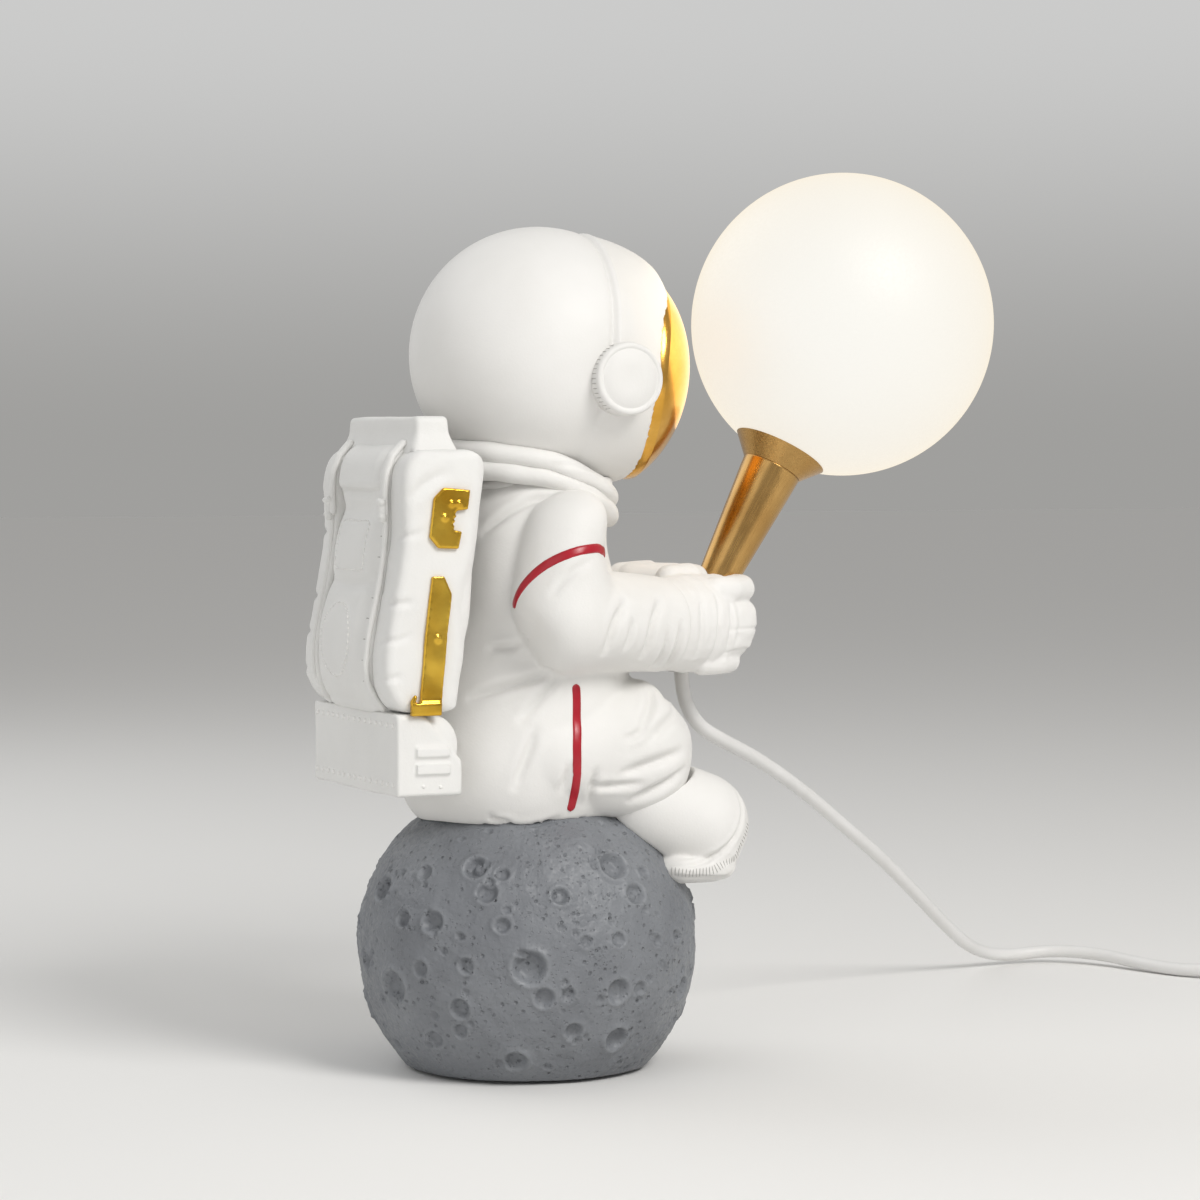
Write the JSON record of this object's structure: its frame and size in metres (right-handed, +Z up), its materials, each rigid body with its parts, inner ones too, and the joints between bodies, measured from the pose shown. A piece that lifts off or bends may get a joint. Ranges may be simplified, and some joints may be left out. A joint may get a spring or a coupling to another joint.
{
  "type": "astronaut figurine desk lamp",
  "caption": "Desk lamp: a seated figure in a space suit on a crater ball clasps a leaning brass stem that carries a round opal shade, with an in-line switch and plug on its cord.",
  "frame": {"origin": "centre of the foot pad's lower face, on the table", "axes": "+Z up, figure faces -Y, its right hand side is -X"},
  "size_m": [0.2193, 0.4739, 0.288],
  "materials": {
    "felt": "felt",
    "stone_grey": "matt cast resin",
    "suit_white": "matt cast resin",
    "boot_white": "matt cast resin",
    "sole_white": "matt cast resin",
    "glove_white": "matt cast resin",
    "helmet_white": "smooth satin",
    "gilt_visor": "polished gilt",
    "gilt_tool": "satin gilt",
    "stem_brass": "brushed",
    "fitting_steel": "plain",
    "holder_ceramic": "glazed",
    "contact_brass": "plain",
    "bulb_plastic": "matt",
    "bulb_frosted": "frosted",
    "board_white": "matt",
    "shade_white": "lit satin opal",
    "ring_plastic": "matt",
    "bush_plastic": "matt",
    "cord_white": "smooth sheath",
    "switch_white": "satin",
    "rocker_white": "satin",
    "plug_white": "satin",
    "prong_nickel": "nickel plated"
  },
  "bodies": {
    "stand": {"foot_pad": "felt", "moon_base": "stone_grey", "torso": "suit_white", "right_leg": "suit_white", "left_leg": "suit_white", "right_boot": "boot_white", "left_boot": "boot_white", "right_boot_sole": "sole_white", "left_boot_sole": "sole_white", "right_sleeve": "suit_white", "left_sleeve": "suit_white", "right_glove": "glove_white", "left_glove": "glove_white", "collar_upper_roll": "suit_white", "collar_lower_roll": "suit_white", "helmet_shell": "helmet_white", "helmet_hood": "helmet_white", "visor": "gilt_visor", "right_ear_cap": "helmet_white", "left_ear_cap": "helmet_white", "backpack_spine": "suit_white", "right_pack_welt": "suit_white", "left_pack_welt": "suit_white", "right_pack_pouch": "suit_white", "left_pack_pouch": "suit_white", "pack_clips": "suit_white", "pack_top_cap": "suit_white", "pack_lower_box": "suit_white", "gilt_spanner": "gilt_tool", "gilt_lever": "gilt_tool", "stem_tube": "stem_brass", "shade_cup": "stem_brass", "threaded_nipple": "fitting_steel", "stem_nut": "fitting_steel", "lamp_holder": "holder_ceramic", "contact_leaves": "contact_brass", "cord_bush": "bush_plastic", "stem_lead": "cord_white", "lamp_cord": "cord_white", "cord_coil": "cord_white", "switch_lead": "cord_white", "plug_lead": "cord_white", "switch_lower_shell": "switch_white", "switch_upper_shell": "switch_white", "rocker_pin": "fitting_steel", "switch_screws": "fitting_steel", "switch_terminals": "contact_brass", "plug_body": "plug_white", "plug_relief": "plug_white", "plug_prongs": "prong_nickel"},
    "shade": {"globe_shade": "shade_white", "globe_ring": "ring_plastic"},
    "bulb": {"bulb_base": "bulb_plastic", "bulb_pins": "fitting_steel", "bulb_tube": "bulb_frosted", "light_board": "board_white"},
    "rocker": {"switch_rocker": "rocker_white"}
  },
  "joints": [
    {"name": "shade_lift", "type": "slide", "parent": "stand", "child": "shade", "axis": [0, -0.4848, 0.8746], "range_m": [0, 0.11]},
    {"name": "bulb_pull", "type": "slide", "parent": "stand", "child": "bulb", "axis": [0, -0.4848, 0.8746], "range_m": [0, 0.012]},
    {"name": "rocker_tilt", "type": "hinge", "parent": "stand", "child": "rocker", "pos_m": [0.0274, -0.3542, 0.0135], "axis": [-0.9063, 0.4226, 0], "range_deg": [0, 9]}
  ]
}
